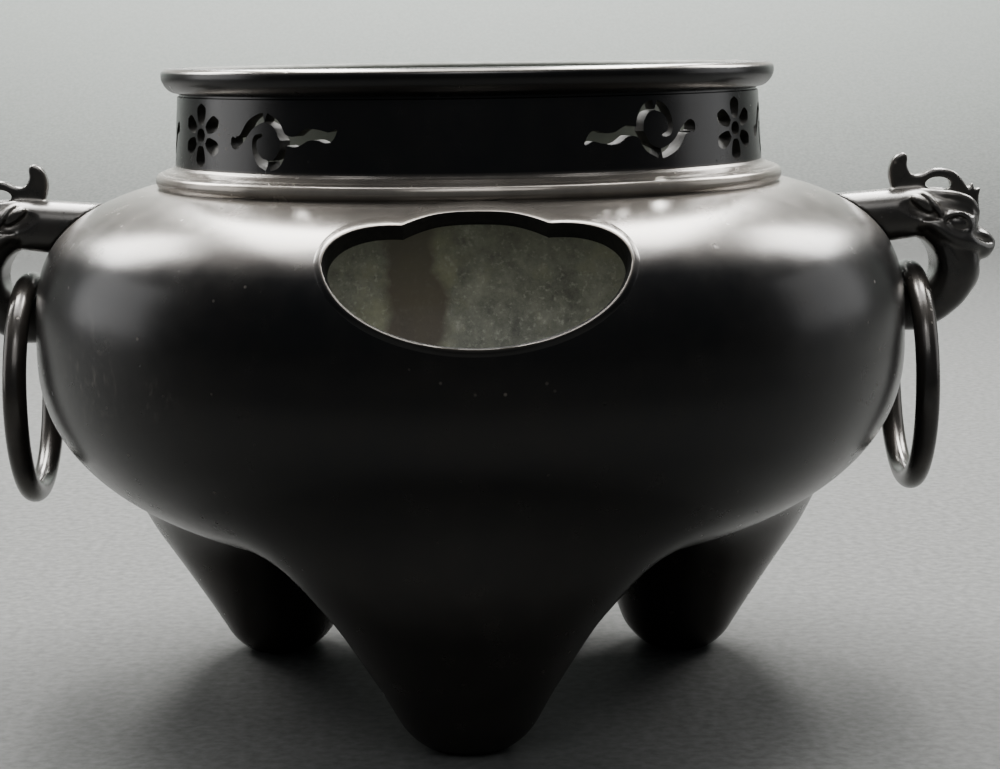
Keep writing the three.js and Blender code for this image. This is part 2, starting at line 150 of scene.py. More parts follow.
# Points where rays from inside the belly leave the skin, found by halving; they fan out, then drop
def skinRows(angles, shares, turns, offset):
    fanRadius = vessel["footCircle"] + vessel["footTip"] - 0.002
    fanHeight = vessel["bellyHeight"] - 0.005
    fromR = np.concatenate([np.full(len(angles), fanRadius), fanRadius * np.asarray(shares)])[:, None]
    wayR = np.concatenate([np.cos(angles), np.zeros(len(shares))])[:, None]
    wayZ = np.concatenate([np.sin(angles), -np.ones(len(shares))])[:, None]
    c, s = np.cos(turns)[None], np.sin(turns)[None]

    def depthAt(t):
        r = fromR + wayR * t
        return vesselDepth(r * c, r * s, fanHeight + wayZ * t) - offset

    near = np.zeros((len(fromR), len(turns)))
    far = np.full_like(near, 0.15)
    out = np.zeros_like(near, bool)
    for t in np.arange(0.003, 0.15, 0.003):
        crossed = ~out & (depthAt(np.full_like(near, t)) > 0)
        near[crossed], far[crossed] = t - 0.003, t
        out |= crossed
    for _ in range(22):
        middle = (near + far) / 2
        inside = depthAt(middle) < 0
        near, far = np.where(inside, middle, near), np.where(inside, far, middle)
    r = np.minimum(fromR + wayR * far, vessel["bodyRadius"])
    return np.stack([r * c, r * s, fanHeight + wayZ * far], -1)


# Surface of revolution: each profile point at its radius times the cosine and sine of every turn
def turnedRows(profile, turns):
    r, z = profile[:, 0][:, None], profile[:, 1][:, None]
    return np.stack([r * np.cos(turns), r * np.sin(turns), z + 0 * turns], -1)


# Grid points with a fan to a middle point at each end: points, faces
def closedGrid(rows):
    count, sides = rows.shape[:2]
    points = np.vstack([rows.reshape(-1, 3), rows[0].mean(0), rows[-1].mean(0)])
    faces = gridFaces(count, sides).tolist()
    last = (count - 1) * sides
    for i in range(sides):
        j = (i + 1) % sides
        faces.append([count * sides, i, j])
        faces.append([count * sides + 1, last + j, last + i])
    return points, faces


# Even turns round the axis, drawn towards the feet by a sine of three times the turn
def vesselTurns(sides):
    turn = np.arange(sides) * 2 * np.pi / sides - np.pi / 2
    return turn - 0.06 * np.sin(3 * (turn + np.pi / 2 - vessel["feetTurn"]))


# Profiles as (radius, height) pairs: each is a base point plus small steps out and up
rimTop = vessel["rimHeight"]
rimUnder = rimTop - vessel["rimDepth"]
neckTop = vessel["neckTop"]
neckRoot = neckTop + vessel["neckFlare"]
beadTop = vessel["mouldingTop"]
beadFoot = beadTop - vessel["mouldingDepth"]
rimEdge = np.array([vessel["rimRadius"], rimTop])
beadEdge = np.array([vessel["mouldingRadius"], beadTop])
rimProfile = np.vstack([
    smoothCurve([[vessel["seatOuter"] - 0.0004, rimTop - 0.00002],
                 [vessel["seatOuter"] + 0.0007, rimTop - 0.00006],
                 *(rimEdge + [[-0.0013, -0.0004], [-0.0005, -0.0010], [-0.0001, -0.0016]])], 12),
    smoothCurve([*(rimEdge + [[0, -0.0019], [0, -0.0032], [-0.0003, -0.0045], [-0.0011, -0.0060],
                              [-0.0024, -0.0074], [-0.0038, -0.0082]]),
                 [neckTop + 0.0001, rimUnder + 0.0002]], 20),
])
grooveProfile = [neckTop, rimUnder] + np.array([
    [-0.0007, -0.0001], [-0.0007, -0.0006], [-0.00005, -0.0009]])
neckProfile = np.stack([np.linspace(neckTop, neckRoot, 9),
                        np.linspace(rimUnder - 0.0014, beadTop + 0.0012, 9)], -1)
filletProfile = smoothCurve([neckRoot, beadTop] + np.array([
    [0.0002, 0.0010], [0.0008, 0.0003], [0.0022, -0.0003], [0.0038, -0.0009]]), 9)
beadProfile = smoothCurve([
    [neckRoot + 0.0041, beadTop - 0.0012],
    *(beadEdge + [[-0.0010, -0.0017], [-0.0002, -0.0027], [0, -0.0040], [-0.0003, -0.0052]]),
    [vessel["mouldingRadius"] - 0.0010, beadFoot], [vessel["mouldingRadius"] - 0.0011, beadFoot - 0.0004],
], 20)


# Outer skin: turned rim, neck and moulding, then the ray-found bowl and feet
def lathedSkin():
    turns = vesselTurns(vessel["sides"])
    upper = turnedRows(np.vstack([rimProfile, grooveProfile, neckProfile, filletProfile, beadProfile]),
                       turns)
    first = np.arctan2(*vessel["skinStart"])
    angles = np.concatenate([np.linspace(first, radians(-30), 46, endpoint=False),
                             np.linspace(radians(-30), radians(-90), 44)])
    shares = np.concatenate([np.linspace(0.978, 0.45, 28), np.linspace(0.41, 0.05, 9)])
    return closedGrid(np.concatenate([upper, skinRows(angles, shares, turns, 0)]))


# Inner skin: straight mouth, then the bowl and feet one wall thickness inside, closed above the rim
def lining():
    turns = vesselTurns(vessel["liningSides"])
    mouth = vessel["mouthRadius"]
    chamfer = smoothCurve([mouth, rimTop] + np.array([
        [0.0022, 0.0001], [0.0012, -0.0003], [0.0003, -0.0010], [0, -0.0022]]), 7)
    profile = np.vstack([[[mouth + 0.0022, rimTop + 0.004]], chamfer,
                         [[mouth, 0.2], [mouth, 0.19], [mouth, 0.1732]]])
    angles = np.linspace(np.arctan2(*vessel["liningStart"]), radians(-90), 44)
    shares = np.concatenate([np.linspace(0.965, 0.45, 20), np.linspace(0.38, 0.06, 6)])
    return closedGrid(np.concatenate([turnedRows(profile, turns),
                                      skinRows(angles, shares, turns, -vessel["wall"])]))


# Fire window: three lobes above, a half moon below, with a raised border round it
window = {
    "turn": radians(0.8), "width": 0.0906, "top": 0.174, "lobeTop": 0.1706, "lobeHalf": 0.0219,
    "endHeight": 0.161, "bottom": 0.1368, "borderWidth": 0.0023, "borderRise": 0.00045,
    "cutReach": 0.024,
}


# Cubic arc: its four points weighted by the powers of the share and of one less the share
def bezier(a, b, c, d, count):
    t = np.linspace(0, 1, count, endpoint=False)[:, None]
    a, b, c, d = (np.asarray(p, float) for p in (a, b, c, d))
    return a * (1 - t) ** 3 + 3 * b * t * (1 - t) ** 2 + 3 * c * t ** 2 * (1 - t) + d * t ** 3


# Right half from the top's middle down to the sill as cubic arcs, then mirrored: points (x, z)
def windowOutline(count=30):
    w = window
    half, lobe, rise = w["width"] / 2, w["lobeHalf"], w["top"] - w["lobeTop"]
    sill = w["endHeight"] - w["bottom"]
    arcs = [
        bezier((0, w["top"]), (lobe * 0.5, w["top"]), (lobe * 0.68, w["top"] - 0.25 * rise),
               (lobe, w["lobeTop"]), count),
        bezier((lobe, w["lobeTop"]), (half * 0.8, w["lobeTop"] + 0.0006), (half, w["endHeight"] + 0.006),
               (half, w["endHeight"] - 0.001), count),
        bezier((half, w["endHeight"] - 0.001), (half * 0.96, w["endHeight"] - 0.55 * sill),
               (half * 0.55, w["bottom"]), (0, w["bottom"]), count),
    ]
    right = np.vstack(arcs)
    left = np.vstack([[[0, w["bottom"]]], right[:0:-1]]) * [-1, 1]
    return np.vstack([right, left])


# Point and outward normal of the superellipse at sideways distance x and height z, turned to the window
def bowlFrame(x, z):
    rise = np.abs(z - vessel["bellyHeight"]) / vessel["shoulderRise"]
    power = vessel["shoulderFullness"]
    radius = vessel["bodyRadius"] * (1 - rise ** power) ** (1 / power)
    turn = np.arcsin(x / radius) + window["turn"]
    nr = (radius / vessel["bodyRadius"]) ** (power - 1) / vessel["bodyRadius"]
    nz = rise ** (power - 1) / vessel["shoulderRise"]
    size = np.hypot(nr, nz)
    nr, nz = nr / size, nz / size
    point = np.stack([radius * np.sin(turn), -radius * np.cos(turn), z], -1)
    normal = np.stack([nr * np.sin(turn), -nr * np.cos(turn), nz], -1)
    return point, normal


# Closed outline with its points spaced evenly by the length walked along it
def resample(outline, count):
    closed = np.vstack([outline, outline[:1]])
    length = np.concatenate([[0], np.cumsum(np.hypot(*np.diff(closed, axis=0).T))])
    at = np.linspace(0, length[-1], count, endpoint=False)
    return np.stack([np.interp(at, length, closed[:, k]) for k in (0, 1)], -1)


# Closed prism between two copies of a flat outline; place lays each copy on its own surface
def prismCutter(outline, place):
    area = np.sum(outline[:, 0] * np.roll(outline[:, 1], -1) - outline[:, 1] * np.roll(outline[:, 0], -1))
    flat = outline if area > 0 else outline[::-1]
    count = len(flat)
    points = np.vstack([place(flat, 0), place(flat, 1)])
    i = np.arange(count)
    j = (i + 1) % count
    faces = [list(range(count))[::-1], list(range(count, 2 * count))]
    faces += np.stack([i, j, j + count, i + count], -1).tolist()
    return points, faces


# Window's outline on the bowl, moved in or out along the bowl's normal
def windowPlace(flat, end):
    point, normal = bowlFrame(flat[:, 0], flat[:, 1])
    return point + normal * (window["cutReach"] if end else -window["cutReach"])


# Profile of a worn raised edge carried round the window's outline and laid on the bowl, rubbed lighter at
# its inner arris as wear and a painted highlight line
def windowBorder():
    outline = resample(windowOutline(), 420)
    along = np.roll(outline, -1, 0) - np.roll(outline, 1, 0)
    outward = np.stack([along[:, 1], -along[:, 0]], -1)
    outward /= np.linalg.norm(outward, axis=1)[:, None]
    middle = outline.mean(0)
    if np.sum(outward * (outline - middle)) < 0:
        outward = -outward
    smooth = outward.copy()
    for _ in range(60):
        smooth = (np.roll(smooth, 1, 0) + smooth * 2 + np.roll(smooth, -1, 0)) / 4
    smooth /= np.linalg.norm(smooth, axis=1)[:, None]
    wide, rise = window["borderWidth"], window["borderRise"]
    profile = [(-0.0001, -0.0035), (-0.0001, -0.0006), (-0.0001, 0.5 * rise), (0.00005, 0.85 * rise),
               (0.00035, rise), (0.0009, 0.98 * rise), (0.5 * wide, 0.8 * rise),
               (0.72 * wide, 0.5 * rise), (0.9 * wide, 0.16 * rise), (wide, -0.00003),
               (wide + 0.0005, -0.0004), (wide + 0.0003, -0.0016), (0.0015, -0.0030)]
    rows = []
    for away, lift in profile:
        mix = min(max(away / wide, 0), 1)
        way = outward * (1 - mix) + smooth * mix
        flat = outline + way * away
        point, normal = bowlFrame(flat[:, 0], flat[:, 1])
        rows.append(point + normal * lift)
    rows = np.array(rows)
    rows[..., :2] *= np.minimum(1, vessel["bodyRadius"] / np.hypot(rows[..., 0], rows[..., 1]))[..., None]
    polishAndHighlight = np.interp(np.arange(len(profile)), [1, 2, 3, 4, 5], [0, 0.7, 1, 0.2, 0])
    return rows, np.repeat(polishAndHighlight, rows.shape[1])


# Neck openwork: flowers and cloud scrolls, in arc length and height from each motif's middle
openwork = {
    "height": 0.195, "flowerTurn": radians(60), "flowerSpread": 1.36, "eye": 0.0023,
    "petalReach": 0.0103, "petalInset": 0.0034, "petalHalf": 0.0024, "cloudLow": radians(-38.7),
    "cloudHigh": radians(35.7), "cloudOffset": 0.00115, "rib": 0.001, "cutReach": 0.003,
}
ribHalf = 1000 * openwork["rib"] / 2
cloudRibbons = [
    [[-17.2, 1, 1.2], [-15.6, -0.6, 4.2], [-12.4, 0.6, 3], [-8.5, 4.8, 3.3], [-4.4, 6.9, 3.2],
     [-1.6 - ribHalf, 7.5, 3]],
    [[-1.6 + ribHalf, 7.5, 3], [3.4, 5.3, 2.7], [6.2, 1.2, 2.8], [10.8, 0.1, 3.3], [15.2, 2.2, 3.7],
     [19.3, 2.2, 3.2], [23, 1.5, 3.3], [26, 3.9, 0.7]],
    [[6.4, 1, 2.6], [5.9, -3.3, 2.8], [3.6, -6.6, 3.2], [0.2 + ribHalf, -7.6, 3.3]],
    [[0.2 - ribHalf, -7.6, 3.3], [-3.8, -6, 2.8], [-5.9, -2.6, 2.2], [-5.7, 0.8, 2], [-2.6, 2.1, 1]],
]


# Middle line with a width at each station, offset to both sides
def ribbonOutline(stations):
    line = smoothCurve(stations, 7 * len(stations)) / 1000
    along = np.gradient(line[:, :2], axis=0)
    across = np.stack([-along[:, 1], along[:, 0]], -1) / np.linalg.norm(along, axis=1)[:, None]
    half = line[:, 2:] / 2
    return np.vstack([line[:, :2] + across * half, (line[:, :2] - across * half)[::-1]])


# Half width as a smooth curve of the distance from the flower's middle, mirrored and turned
def petalOutline(angle):
    reach, inset, half = openwork["petalReach"], openwork["petalInset"], openwork["petalHalf"]
    stations = ((0, 0.45), (0.2, 0.82), (0.6, 1.06), (0.84, 0.86), (1, 0.04))
    side = smoothCurve([[inset + far * (reach - inset), wide * half] for far, wide in stations], 14)
    shape = np.vstack([side, side[::-1] * [1, -1]])
    c, s = np.cos(angle), np.sin(angle)
    return shape @ np.array([[c, s], [-s, c]]) * [openwork["flowerSpread"], 1]


# Flat outline bent round the neck: its x over the middle radius is an angle, its y a height
def neckPlace(turn, height):
    middleRadius = neckTop + vessel["neckFlare"] / 2
    outside = vessel["rimRadius"] + openwork["cutReach"]
    inside = vessel["mouthRadius"] - openwork["cutReach"]

    def place(flat, end):
        angle = turn + flat[:, 0] / middleRadius
        radius = outside if end else inside
        return np.stack([radius * np.sin(angle), -radius * np.cos(angle), height + flat[:, 1]], -1)

    return place


# Two sets of prisms, so that the ribbons that join at a scroll are cut one after the other
def openworkCutters():
    first, second = [], []
    circle = np.arange(20) * 2 * np.pi / 20
    eye = openwork["eye"] * np.stack([openwork["flowerSpread"] * np.cos(circle), np.sin(circle)], -1)
    for i in range(3):
        turn = radians(120 * i)
        flower = neckPlace(turn + openwork["flowerTurn"], openwork["height"])
        first.append(prismCutter(eye, flower))
        first += [prismCutter(petalOutline(radians(90 + 60 * k)), flower) for k in range(6)]
        for start, way in ((openwork["cloudLow"], 1), (openwork["cloudHigh"], -1)):
            place = neckPlace(turn + start, openwork["height"] - way * openwork["cloudOffset"])
            cuts = [prismCutter(way * ribbonOutline(ribbon), place) for ribbon in cloudRibbons]
            first += [cuts[0], cuts[1], cuts[3]]
            second.append(cuts[2])
    return first, second


# Several meshes as one: points stacked, each face moved on by the points before it
def joined(meshes):
    points, faces, start = [], [], 0
    for p, f in meshes:
        points.append(p)
        faces += [[int(v) + start for v in face] for face in f]
        start += len(p)
    return np.vstack(points), faces


# Boolean difference with a cutter mesh, applied to the piece; the cutter goes
def cutBy(piece, points, faces, material):
    cutter = newPiece("cutter", points, faces, [material])
    step = piece.modifiers.new("cut", "BOOLEAN")
    step.operation = "DIFFERENCE"
    step.solver = "MANIFOLD"
    step.object = cutter
    applyModifiers(piece)
    bpy.data.objects.remove(cutter)


# The piece's mesh becomes what its modifiers make of it
def applyModifiers(piece):
    graph = bpy.context.evaluated_depsgraph_get()
    mesh = bpy.data.meshes.new_from_object(piece.evaluated_get(graph))
    old = piece.data
    piece.modifiers.clear()
    piece.data = mesh
    bpy.data.meshes.remove(old)


# Node building
def node(tree, kind, inputs=None, **settings):
    made = tree.nodes.new(kind)
    for key, value in settings.items():
        setattr(made, key, value)
    for key, value in (inputs or {}).items():
        socket = made.inputs[key]
        if isinstance(value, bpy.types.NodeSocket):
            tree.links.new(value, socket)
        else:
            socket.default_value = value
    return made


# Colour a moved towards colour b by the factor
def mixColor(tree, factor, a, b, blend="MIX"):
    made = node(tree, "ShaderNodeMix", data_type="RGBA", blend_type=blend)
    for index, value in ((0, factor), (6, a), (7, b)):
        if isinstance(value, bpy.types.NodeSocket):
            tree.links.new(value, made.inputs[index])
        else:
            made.inputs[index].default_value = value
    return made.outputs[2]


# One sum of two values, kept between none and one if asked
def maths(tree, operation, a, b=0.0, clamp=False):
    return node(tree, "ShaderNodeMath", {0: a, 1: b}, operation=operation, use_clamp=clamp).outputs[0]


# Straight ramp: low gives toLow, high gives toHigh, and it stays there beyond them
def spread(tree, value, low, high, toLow=0.0, toHigh=1.0):
    limits = {"From Min": low, "From Max": high, "To Min": toLow, "To Max": toHigh}
    return node(tree, "ShaderNodeMapRange", {"Value": value, **limits}).outputs["Result"]


# An empty node group with its named inputs and outputs
def groupTree(name, inputs, outputs):
    tree = bpy.data.node_groups.new(name, "ShaderNodeTree")
    for label, kind, value in inputs:
        socket = tree.interface.new_socket(label, in_out="INPUT", socket_type=kind)
        if value is not None:
            socket.default_value = value
    for label, kind in outputs:
        tree.interface.new_socket(label, in_out="OUTPUT", socket_type=kind)
    return tree, tree.nodes.new("NodeGroupInput"), tree.nodes.new("NodeGroupOutput")


# Layers of smooth noise summed, each finer and weaker than the last, about a half on average
def noise(tree, vector, scale, detail=4.0, roughness=0.55, **settings):
    inputs = {"Vector": vector, "Scale": scale, "Detail": detail, "Roughness": roughness}
    return node(tree, "ShaderNodeTexNoise", inputs, **settings).outputs["Fac"]


# Cast bronze skin: drifting brown and black, fine pits, pale dust specks, and a lighter colour mixed in by
# a share that carries both wear and painted light
def buildPatina():
    tree, given, result = groupTree("castPatina", [
        ("Vector", "NodeSocketVector", None), ("Dark", "NodeSocketColor", (0.006, 0.006, 0.0065, 1)),
        ("Brown", "NodeSocketColor", (0.024, 0.017, 0.012, 1)),
        ("WearAndLightColor", "NodeSocketColor", (0.10, 0.085, 0.07, 1)),
        ("WearAndLightShare", "NodeSocketFloat", 0.0), ("Gloss", "NodeSocketFloat", 0.34),
    ], [("Color", "NodeSocketColor"), ("Roughness", "NodeSocketFloat"), ("Height", "NodeSocketFloat")])
    where = given.outputs["Vector"]
    drift = noise(tree, where, 14.0, 5.0, 0.6)
    mottle = noise(tree, where, 95.0, 6.0, 0.62)
    grain = noise(tree, where, 900.0, 3.0, 0.6)
    tone = maths(tree, "ADD", maths(tree, "MULTIPLY", drift, 0.65), maths(tree, "MULTIPLY", mottle, 0.35))
    color = mixColor(tree, spread(tree, tone, 0.38, 0.68), given.outputs["Dark"], given.outputs["Brown"])
    wearAndLightMix = maths(tree, "MULTIPLY", given.outputs["WearAndLightShare"], spread(tree, mottle, 0.3, 0.7, 0.72, 1.0),
                    clamp=True)
    color = mixColor(tree, wearAndLightMix, color, given.outputs["WearAndLightColor"])
    pits = node(tree, "ShaderNodeTexVoronoi",
                {"Vector": where, "Scale": 210.0, "Randomness": 1.0}).outputs["Distance"]
    pitMask = maths(tree, "MULTIPLY", spread(tree, pits, 0.13, 0.05), spread(tree, mottle, 0.52, 0.62),
                    clamp=True)
    specks = node(tree, "ShaderNodeTexVoronoi",
                  {"Vector": where, "Scale": 130.0, "Randomness": 1.0}).outputs["Distance"]
    speckMask = maths(tree, "MULTIPLY", spread(tree, specks, 0.085, 0.04), spread(tree, drift, 0.5, 0.6),
                      clamp=True)
    color = mixColor(tree, maths(tree, "MULTIPLY", speckMask, 0.55), color, (0.16, 0.14, 0.12, 1))
    rough = maths(tree, "ADD", given.outputs["Gloss"], spread(tree, mottle, 0.3, 0.7, -0.02, 0.03))
    rough = maths(tree, "ADD", rough, maths(tree, "MULTIPLY", speckMask, 0.25))
    height = maths(tree, "ADD", maths(tree, "MULTIPLY", grain, 0.08),
                   maths(tree, "MULTIPLY", mottle, 0.09))
    height = maths(tree, "SUBTRACT", height, maths(tree, "MULTIPLY", pitMask, 0.8))
    height = maths(tree, "ADD", height, maths(tree, "MULTIPLY", noise(tree, where, 30.0, 2.0), 0.35))
    for label, value in (("Color", color), ("Roughness", rough), ("Height", height)):
        tree.links.new(value, result.inputs[label])
    return tree


castPatina = buildPatina()


# A new material: itself, its nodes, its shader and the object's own coordinates
def newMaterial(name):
    material = bpy.data.materials.new(name)
    material.use_nodes = True
    tree = material.node_tree
    shader = tree.nodes["Principled BSDF"]
    return material, tree, shader, tree.nodes.new("ShaderNodeTexCoord").outputs["Object"]


# The cast patina with its inputs set or linked
def patinaNode(tree, where, wearAndLight, gloss, dark, brown, rubbed):
    made = tree.nodes.new("ShaderNodeGroup")
    made.node_tree = castPatina
    for key, value in {"Vector": where, "WearAndLightShare": wearAndLight, "Gloss": gloss, "Dark": dark, "Brown": brown,
                       "WearAndLightColor": rubbed}.items():
        if isinstance(value, bpy.types.NodeSocket):
            tree.links.new(value, made.inputs[key])
        else:
            made.inputs[key].default_value = value
    return made


# Colour and roughness as given; the height tilts the normal by its slope times the strength
def finishMaterial(tree, shader, color, rough, height, strength, metallic):
    bump = node(tree, "ShaderNodeBump", {"Height": height, "Strength": strength, "Distance": 0.0006})
    tree.links.new(color, shader.inputs["Base Color"])
    tree.links.new(rough, shader.inputs["Roughness"])
    tree.links.new(bump.outputs["Normal"], shader.inputs["Normal"])
    shader.inputs["Metallic"].default_value = metallic
    shader.inputs["Specular IOR Level"].default_value = 0.8


# One inside an ellipsoid, fading to nothing at its edge
def patch(tree, where, centre, radii):
    moved = node(tree, "ShaderNodeVectorMath", {0: where, 1: centre}, operation="SUBTRACT").outputs[0]
    scaled = node(tree, "ShaderNodeVectorMath", {0: moved, 1: radii}, operation="DIVIDE").outputs[0]
    length = node(tree, "ShaderNodeVectorMath", {0: scaled}, operation="LENGTH").outputs["Value"]
    return spread(tree, length, 1.0, 0.25)


# Patina, browner and lighter on the upper shoulder as wear and as painted light from above, rubbed lighter
# along the moulding and rim as wear and painted highlight lines, lighter down the feet as painted light,
# with two scuffed patches
def vesselMaterial():
    material, tree, shader, where = newMaterial("vesselPatina")
    axes = node(tree, "ShaderNodeSeparateXYZ", {"Vector": where})
    z = axes.outputs["Z"]
    # Upper shoulder band made browner and lighter: wear, and painted light from above
    shoulder = maths(tree, "MULTIPLY", spread(tree, z, 0.156, 0.180), spread(tree, z, 0.1845, 0.1825))
    squeezed = node(tree, "ShaderNodeMapping", {"Vector": where, "Scale": (1.0, 1.0, 0.7)}).outputs[0]
    scratches = noise(tree, squeezed, 330.0, 6.0, 0.7)
    scuffs = maths(tree, "ADD", patch(tree, where, (-0.118, -0.085, 0.122), (0.022, 0.03, 0.026)),
                   patch(tree, where, (-0.093, -0.113, 0.119), (0.010, 0.012, 0.009)))
    scuffs = maths(tree, "MULTIPLY", scuffs, spread(tree, scratches, 0.52, 0.66), clamp=True)
    polishAndHighlight = node(tree, "ShaderNodeAttribute", attribute_name="polishAndHighlight").outputs["Fac"]
    wearAndLight = maths(tree, "ADD", maths(tree, "MULTIPLY", shoulder, 0.72),
                maths(tree, "MULTIPLY", scuffs, 0.26))
    # Lighter towards the feet: painted light standing in for light reflected from the floor
    wearAndLight = maths(tree, "ADD", wearAndLight, spread(tree, z, 0.100, 0.030, 0.0, 0.15))
    wearAndLight = maths(tree, "ADD", wearAndLight, polishAndHighlight, clamp=True)
    gloss = maths(tree, "SUBTRACT", 0.25, maths(tree, "MULTIPLY", polishAndHighlight, 0.08))
    made = patinaNode(tree, where, wearAndLight, gloss, (0.0045, 0.0046, 0.0052, 1), (0.0105, 0.0090, 0.0078, 1),
                      (0.25, 0.226, 0.198, 1))
    finishMaterial(tree, shader, made.outputs["Color"], made.outputs["Roughness"], made.outputs["Height"],
                   0.14, 0.6)
    return material


# Unpolished inside: grey-green verdigris mottling, pale blotches and one broad rusty run down the back,
# with painted shade towards the top
def insideMaterial():
    material, tree, shader, where = newMaterial("vesselInside")
    axes = node(tree, "ShaderNodeSeparateXYZ", {"Vector": where})
    mottle = noise(tree, where, 85.0, 9.0, 0.75)
    cloud = noise(tree, where, 22.0, 6.0, 0.65)
    fine = noise(tree, where, 420.0, 5.0, 0.65)
    color = mixColor(tree, spread(tree, mottle, 0.33, 0.68), (0.065, 0.067, 0.057, 1),
                     (0.26, 0.265, 0.225, 1))
    color = mixColor(tree, maths(tree, "MULTIPLY", spread(tree, cloud, 0.5, 0.66), 0.5), color,
                     (0.32, 0.32, 0.19, 1))
    color = mixColor(tree, maths(tree, "MULTIPLY", spread(tree, fine, 0.55, 0.75), 0.5), color,
                     (0.52, 0.54, 0.47, 1))
    sway = spread(tree, noise(tree, where, 30.0, 4.0), 0.3, 0.7, -0.006, 0.006)
    x = maths(tree, "ADD", axes.outputs["X"], sway)
    run = maths(tree, "MULTIPLY", spread(tree, x, -0.037, -0.032), spread(tree, x, -0.007, -0.012))
    run = maths(tree, "MULTIPLY", run, spread(tree, axes.outputs["Y"], 0.06, 0.09), clamp=True)
    color = mixColor(tree, maths(tree, "MULTIPLY", run, 0.86), color, (0.062, 0.046, 0.035, 1))
    for centre, radii, depth in (((0.031, 0.13, 0.155), (0.008, 0.05, 0.011), 0.75),
                                 ((0.0, 0.13, 0.152), (0.007, 0.05, 0.015), 0.4)):
        blotch = maths(tree, "MULTIPLY", patch(tree, where, centre, radii), spread(tree, fine, 0.35, 0.6),
                       clamp=True)
        color = mixColor(tree, maths(tree, "MULTIPLY", blotch, depth), color, (0.75, 0.78, 0.70, 1))
    # Painted shade: darker towards the top of the inside, and darker still just under the rim
    shade = spread(tree, axes.outputs["Z"], 0.122, 0.156, 0.0, 0.72)
    color = mixColor(tree, shade, color, (0.040, 0.042, 0.034, 1))
    color = mixColor(tree, spread(tree, axes.outputs["Z"], 0.174, 0.188), color, (0.020, 0.024, 0.016, 1))
    rough = spread(tree, mottle, 0.3, 0.7, 0.62, 0.8)
    height = maths(tree, "ADD", maths(tree, "MULTIPLY", mottle, 1.2), maths(tree, "MULTIPLY", fine, 0.5))
    finishMaterial(tree, shader, color, rough, height, 0.4, 0.15)
    return material


# Sawn and filed walls of an opening: duller than the patina, with pale flecks from a fine noise all over
def cutMaterial(name, dark, pale):
    material, tree, shader, where = newMaterial(name)
    fine = noise(tree, where, 500.0, 5.0, 0.6)
    color = mixColor(tree, spread(tree, fine, 0.35, 0.7), dark, pale)
    finishMaterial(tree, shader, color, spread(tree, fine, 0.3, 0.7, 0.55, 0.7), fine, 0.35, 0.1)
    shader.inputs["Specular IOR Level"].default_value = 0.1
    return material


# The same patina on the carved heads, rubbed where the attribute says that a ridge stands proud; its
# colours are lighter than the bowl's, as painted light
def lugMaterial():
    material, tree, shader, where = newMaterial("lugPatina")
    polishAndHighlight = node(tree, "ShaderNodeAttribute", attribute_name="polishAndHighlight").outputs["Fac"]
    made = patinaNode(tree, where, polishAndHighlight, 0.28, (0.018, 0.018, 0.018, 1), (0.055, 0.050, 0.044, 1),
                      (0.17, 0.155, 0.137, 1))
    finishMaterial(tree, shader, made.outputs["Color"], made.outputs["Roughness"], made.outputs["Height"],
                   0.25, 0.55)
    return material


# The same patina on the rings, rubbed where a slow noise is above its middle; its colours are lighter than
# the bowl's, as painted reflection
def ringMaterial():
    material, tree, shader, where = newMaterial("ringPatina")
    wearAndLight = maths(tree, "MULTIPLY", spread(tree, noise(tree, where, 45.0, 5.0), 0.5, 0.75), 0.3)
    made = patinaNode(tree, where, wearAndLight, 0.22, (0.018, 0.0175, 0.0165, 1), (0.045, 0.039, 0.033, 1),
                      (0.13, 0.115, 0.10, 1))
    finishMaterial(tree, shader, made.outputs["Color"], made.outputs["Roughness"], made.outputs["Height"],
                   0.2, 0.6)
    return material


vesselPatina, vesselInside = vesselMaterial(), insideMaterial()
# The openings' walls are kept dark as painted shade, the window's walls darker still
neckWalls = cutMaterial("neckWalls", (0.004, 0.004, 0.0038, 1), (0.020, 0.0185, 0.016, 1))
windowWalls = cutMaterial("windowWalls", (0.0025, 0.0026, 0.0028, 1), (0.008, 0.0075, 0.007, 1))
lugPatina, ringPatina = lugMaterial(), ringMaterial()
print("materials ready")


# Stores how far each point is rubbed bright
def setPolishAndHighlight(piece, values):
    layer = piece.data.attributes.new("polishAndHighlight", "FLOAT", "POINT")
    layer.data.foreach_set("value", np.asarray(values, dtype=np.float32))


